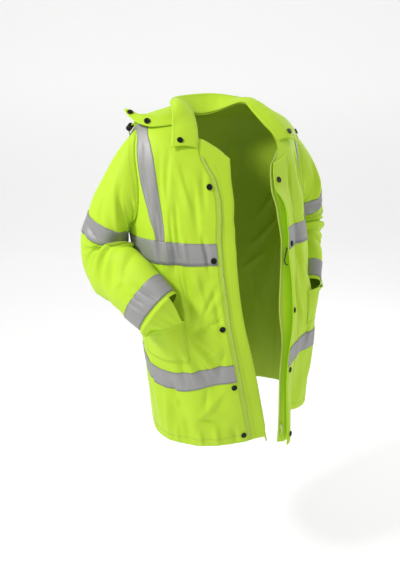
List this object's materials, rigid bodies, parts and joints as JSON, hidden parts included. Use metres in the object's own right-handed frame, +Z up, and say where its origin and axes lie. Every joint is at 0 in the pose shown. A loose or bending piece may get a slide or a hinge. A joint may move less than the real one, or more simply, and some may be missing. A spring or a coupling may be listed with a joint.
{
  "type": "work jacket",
  "caption": "Long hi-vis work jacket with hood, worn open, hands at the pockets; grey reflective tape, snap storm flap, patch pockets.",
  "frame": {"origin": "middle of the neck opening at its base, between the two shoulder seams", "axes": "+X to the wearer's left, -Y to the front, +Z up"},
  "size_m": [0.7562, 0.4819, 0.8911],
  "materials": {
    "shell": "coated woven cloth, lime",
    "tape": "grey reflective tape",
    "zip": "woven zip tape with lime teeth",
    "zip_metal": "lime enamel",
    "snap": "black, satin",
    "cord": "lime braided cord",
    "dark_cord": "black elastic cord"
  },
  "bodies": {
    "jacket": {"front_right": "shell", "front_left": "shell", "back": "shell", "brace_tape_front_right": "tape", "waist_tape_front_right": "tape", "hem_tape_front_right": "tape", "brace_tape_front_left": "tape", "waist_tape_front_left": "tape", "hem_tape_front_left": "tape", "brace_tape_back_right": "tape", "brace_tape_back_left": "tape", "waist_tape_back": "tape", "hem_tape_back": "tape", "sleeve_right": "shell", "sleeve_tape_upper_right": "tape", "sleeve_tape_cuff_right": "tape", "sleeve_left": "shell", "sleeve_tape_upper_left": "tape", "sleeve_tape_cuff_left": "tape", "collar": "shell", "hood": "shell", "zip_right": "zip", "zip_left": "zip", "storm_flap_inner": "shell", "storm_flap_outer": "shell", "waist_tape_flap": "tape", "hem_tape_flap": "tape", "pocket_right": "shell", "pocket_left": "shell", "pocket_flap_right": "shell", "pocket_flap_left": "shell", "snap_right_1": "snap", "snap_left_1": "snap", "snap_right_2": "snap", "snap_left_2": "snap", "snap_right_3": "snap", "snap_left_3": "snap", "snap_right_4": "snap", "snap_left_4": "snap", "snap_right_5": "snap", "snap_left_5": "snap", "snap_collar_right": "snap", "snap_collar_left": "snap", "snap_hood_right_1": "snap", "snap_hood_right_2": "snap", "snap_hood_left": "snap", "hood_cord": "cord", "waist_cord": "dark_cord", "cord_lock": "snap", "zip_slider": "zip_metal"},
    "zip_pull": {"zip_pull_tab": "zip_metal"}
  },
  "joints": [
    {"name": "zip_pull_hinge", "type": "hinge", "parent": "jacket", "child": "zip_pull", "pos_m": [0.0564, -0.26197, -0.81654], "axis": [-0.9945, -0.1048, 0.0014], "range_deg": [0, 120]}
  ]
}
